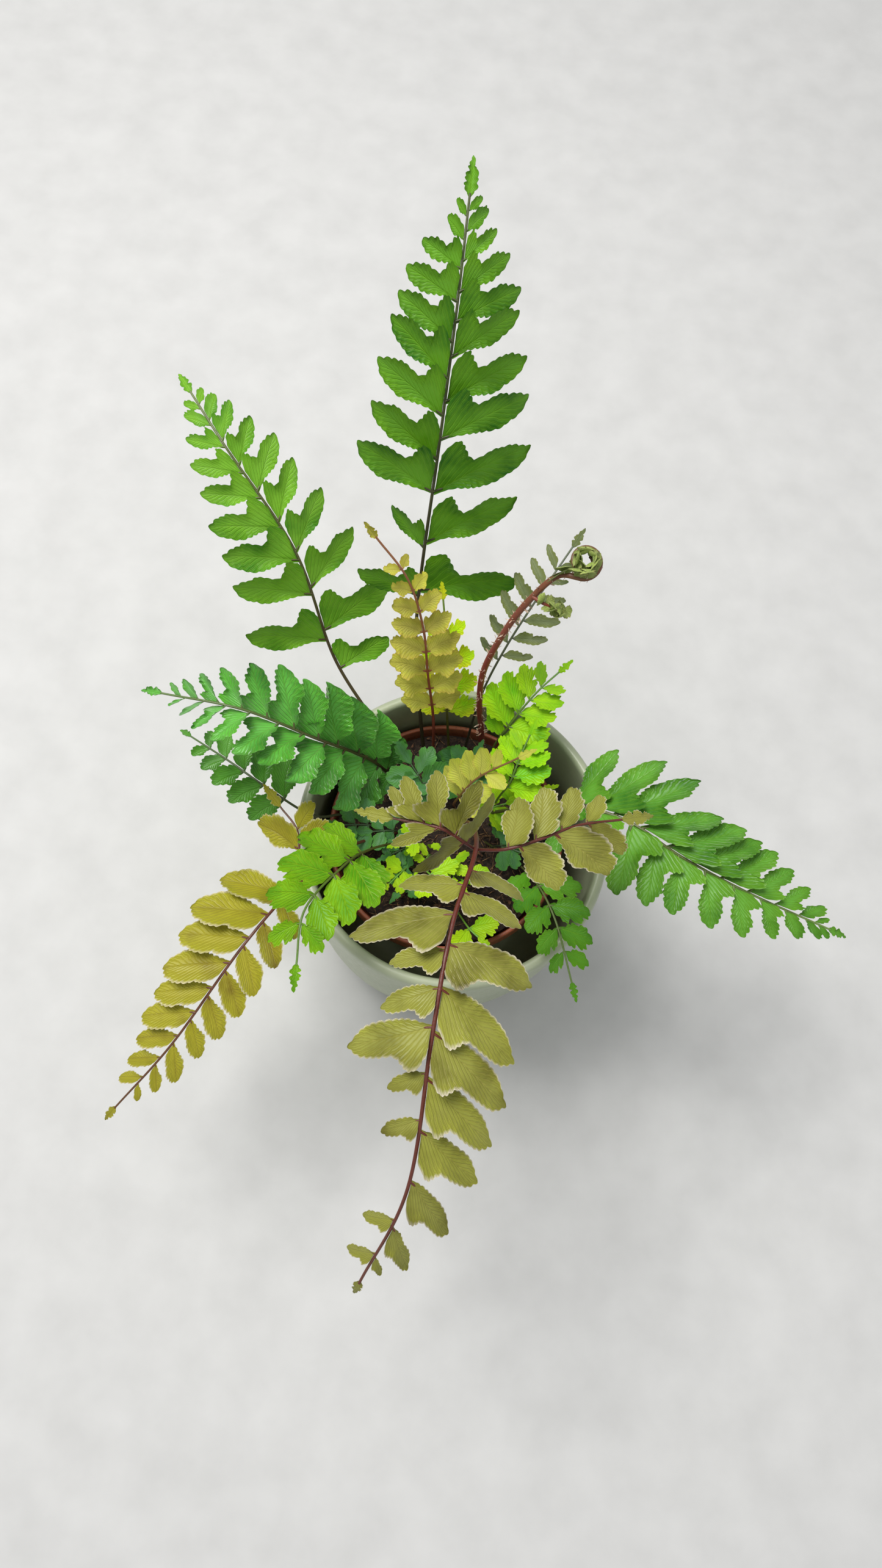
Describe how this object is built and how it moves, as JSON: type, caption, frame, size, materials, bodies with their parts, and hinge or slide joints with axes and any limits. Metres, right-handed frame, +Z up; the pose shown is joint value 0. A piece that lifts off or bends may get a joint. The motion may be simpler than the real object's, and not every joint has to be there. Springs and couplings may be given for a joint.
{
  "type": "potted fern",
  "caption": "Young fern with once-cut arching fronds of eared leaflets, in a thin plastic grow pot inside a round glazed outer pot.",
  "frame": {"origin": "centre of the outer pot's foot, on the surface it stands on", "axes": "+Z up, front at -Y, +X to the right seen from the front"},
  "size_m": [0.2991, 0.3706, 0.3013],
  "materials": {
    "glaze": "satin sage green-grey glaze on earthenware",
    "plastic": "matt orange-brown plastic",
    "soil": "dark potting soil with fibres and bark",
    "green_leaf": "mid to deep green leaflets with fan veins, brown stalk",
    "lime_leaf": "vivid yellow-green young leaflets",
    "bronze_leaf": "olive to yellow-bronze young leaflets, red-brown stalk",
    "coiled_frond": "red-brown scaly stalk with a green and brown coiled tip"
  },
  "bodies": {
    "root": {"outer_pot": "glaze", "grow_pot": "plastic", "soil": "soil", "frond_tall": "green_leaf", "frond_upper_left": "green_leaf", "frond_left": "green_leaf", "frond_left_low": "green_leaf", "frond_bronze_left": "bronze_leaf", "frond_lime_front": "lime_leaf", "frond_bronze_front": "bronze_leaf", "frond_right": "green_leaf", "frond_right_low": "green_leaf", "frond_bronze_upright": "bronze_leaf", "frond_lime_upright": "lime_leaf", "frond_lime_right": "lime_leaf", "frond_lime_low": "lime_leaf", "frond_bronze_small": "bronze_leaf", "frond_grey_back": "green_leaf", "frond_dark_low": "green_leaf", "sprig_left": "lime_leaf", "sprig_middle": "lime_leaf", "sprig_front": "lime_leaf", "sprig_teal": "green_leaf", "crozier": "coiled_frond"}
  },
  "joints": []
}
